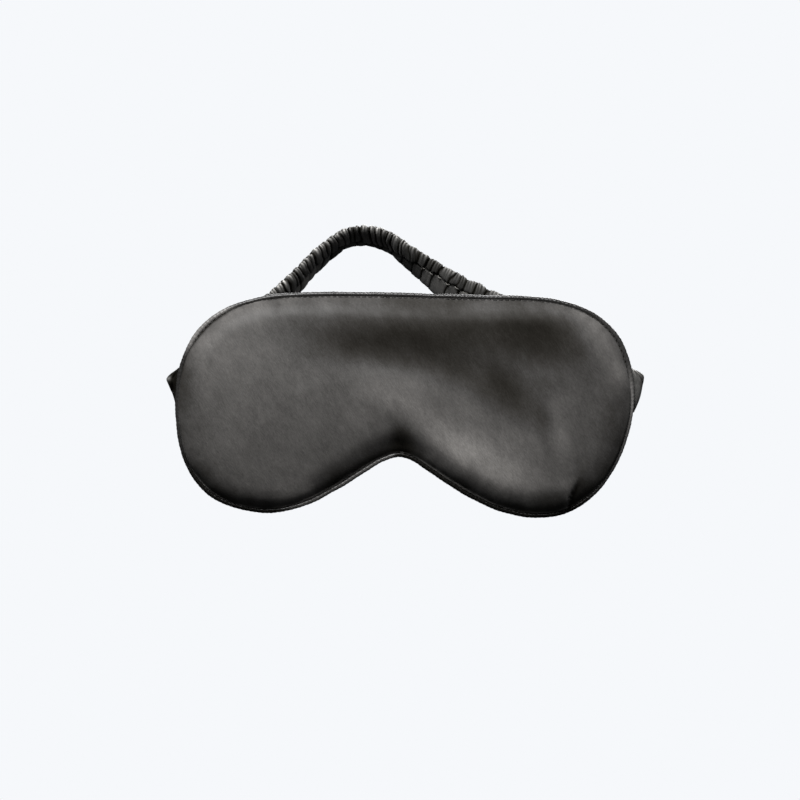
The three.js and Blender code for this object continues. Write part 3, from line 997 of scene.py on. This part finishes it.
def strap_cuts():
    """The samples at which the strap is divided, the same for sleeve and elastic."""
    cuts = [0]
    for first, second in zip(STRAP_LENGTHS, STRAP_LENGTHS[1:]):
        middle = (STRAP.span(first)[1] + STRAP.span(second)[0]) / 2
        cuts.append(int(np.searchsorted(STRAP.at, middle)))
    return cuts + [len(STRAP.at) - 1]


def attach_length(piece, name):
    """The crown length follows the strap_crown body; every other length keeps its place, baked into its
    points.
    """
    if name == "strap_cover_crown":
        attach(piece, "strap_crown")
        return
    root, tip = ("mask", "strap") if "end" in name else ("strap", "strap_crown")
    if root == "mask":
        half = len(STRAP.at) // 2
        loop = int(np.abs(STRAP.middle[:half, 0]).argmax()) + 8
    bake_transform(piece)


def build_strap():
    """The sleeve and the elastic inside it, each cut into the five lengths of the frame, and the
    seam's stitches on every length that shows them."""
    sleeve, tone = sleeve_surface()
    elastic = elastic_surface()
    cuts = strap_cuts()
    for name, start, end in zip(STRAP_LENGTHS, cuts, cuts[1:]):
        part = sleeve[start:end + 1]
        points = part.reshape(-1, 3)
        faces = tube_faces(len(part), sleeve.shape[1], False)
        piece = make_object(name.replace("strap", "sleeve"), points, faces, [SATIN_STRAP])
        set_painted_light(piece, tone[start:end + 1].reshape(-1))
        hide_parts(name)
        attach_length(piece, name)

        part = elastic[start:end + 1]
        faces = tube_faces(len(part), elastic.shape[1], False)
        core = make_object(name.replace("strap", "elastic"), part.reshape(-1, 3), faces, [ELASTIC])
        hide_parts("strap_elastic")
        attach_length(core, name)

    stitched = [int(share * STRAP.length / STRAP.STEP) for share in STITCHED_RUN]
    for name, start, end in zip(STRAP_LENGTHS, cuts, cuts[1:]):
        first, last = max(start, stitched[0]), min(end, stitched[1])
        if last - first < STITCH_ROOM:
            continue
        points, faces = seam_stitches(first, last)
        row = make_object(name.replace("strap", "stitches"), points, faces, [PALE_THREAD])
        attach_length(row, name)


build_strap()

# ---------------------------------------------------------------- pieces carried over from the frame


def finish_node(node, material):
    """Give a carried-over CAD node its material."""
    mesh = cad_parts[node].data
    mesh.materials.clear()
    mesh.materials.append(material)


for node, material in (
    ("piping_cord", CORD), ("bar_tack_left", THREAD), ("bar_tack_right", THREAD),
):
    finish_node(node, material)

# ---------------------------------------------------------------- studio

BACKDROP = colour(246, 248, 251)


def pale_world():
    """A pale surround that the camera sees at full strength and the mask only dimly."""
    world = bpy.data.worlds.new("surround")
    bpy.context.scene.world = world
    world.use_nodes = True
    tree = world.node_tree
    background = tree.nodes["Background"]
    background.inputs["Color"].default_value = BACKDROP
    path = tree.nodes.new("ShaderNodeLightPath")
    strength = tree.nodes.new("ShaderNodeMapRange")
    strength.inputs["To Min"].default_value = 0.05
    strength.inputs["To Max"].default_value = 1.0
    tree.links.new(path.outputs["Is Camera Ray"], strength.inputs["Value"])
    tree.links.new(strength.outputs["Result"], background.inputs["Strength"])


def pale_floor():
    """A plain floor well below the mask, as bright as the surround."""
    material = bpy.data.materials.new("floor")
    material.use_nodes = True
    tree = material.node_tree
    tree.nodes.remove(tree.nodes["Principled BSDF"])
    glow = tree.nodes.new("ShaderNodeEmission")
    glow.inputs["Color"].default_value = BACKDROP
    path = tree.nodes.new("ShaderNodeLightPath")
    strength = tree.nodes.new("ShaderNodeMapRange")
    strength.inputs["To Min"].default_value = 0.03
    tree.links.new(path.outputs["Is Camera Ray"], strength.inputs["Value"])
    tree.links.new(strength.outputs["Result"], glow.inputs["Strength"])
    tree.links.new(glow.outputs["Emission"], tree.nodes["Material Output"].inputs["Surface"])
    size, drop = 3000, 220
    corners = [(-size, -size, -drop), (size, -size, -drop), (size, size, -drop), (-size, size, -drop)]
    floor = make_object("floor", corners, [(0, 1, 2, 3)], [material])


def area_light(name, place, target, size, power):
    """A soft rectangular light aimed at a point, places in metres, unseen by the camera."""
    light = bpy.data.lights.new(name, "AREA")
    light.shape = "RECTANGLE"
    light.size, light.size_y = size
    light.energy = power
    obj = bpy.data.objects.new(name, light)
    bpy.context.scene.collection.objects.link(obj)
    obj.location = place
    obj.rotation_euler = (Vector(target) - Vector(place)).to_track_quat("-Z", "Y").to_euler()
    obj.visible_camera = False


def studio():
    """One broad light from above the front and one from behind."""
    pale_world()
    pale_floor()
    area_light("key", (-0.14, -0.5, 0.6), (0, 0, 0), (0.5, 0.3), 7.5)
    area_light("back", (0.2, 0.7, 0.45), (0, 0.03, 0.02), (0.8, 0.5), 7)


def camera():
    """A long lens, square on to the front, that shows a frame of the given width in metres."""
    data = bpy.data.cameras.new("camera")
    frame_width, distance = 0.364, 2.5
    data.sensor_width = 36
    data.lens = data.sensor_width * distance / frame_width
    data.clip_end = 20
    obj = bpy.data.objects.new("camera", data)
    bpy.context.scene.collection.objects.link(obj)
    obj.location = (-0.003, -distance, -0.004)
    obj.rotation_euler = (math.radians(90), 0, 0)
    bpy.context.scene.camera = obj


studio()
camera()
bpy.context.scene.view_settings.view_transform = "Standard"
